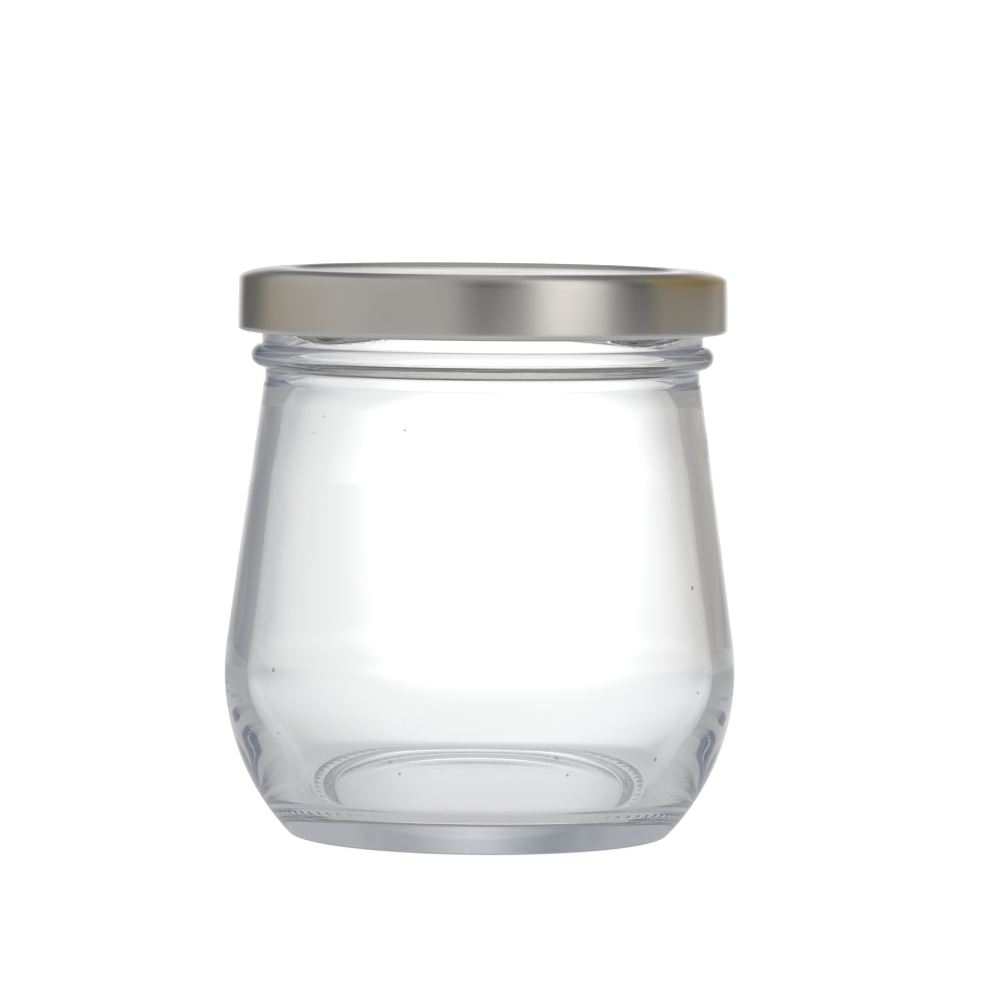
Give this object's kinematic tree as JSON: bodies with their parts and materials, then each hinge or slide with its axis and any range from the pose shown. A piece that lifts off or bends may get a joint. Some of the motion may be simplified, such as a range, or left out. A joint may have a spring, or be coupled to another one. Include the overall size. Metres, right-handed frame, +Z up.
{
  "type": "glass jar with metal lid",
  "caption": "Small round-bellied clear glass food jar on a narrow heel, empty, closed with a silver twist-off metal lid.",
  "frame": {"origin": "middle of the circle the jar rests on", "axes": "+Z up the jar's axis through the middle of the lid, -Y towards the viewer of the picture, +X to the viewer's right"},
  "size_m": [0.0712, 0.0712, 0.0791],
  "materials": {
    "clear_glass": "clear, smooth, faintly blue",
    "tinplate": "silver, semi-gloss, fine rolled grain",
    "sealing_compound": "pale, matte"
  },
  "bodies": {
    "root": {"jar": "clear_glass", "lid": "tinplate", "lid_seal": "sealing_compound"}
  },
  "joints": []
}
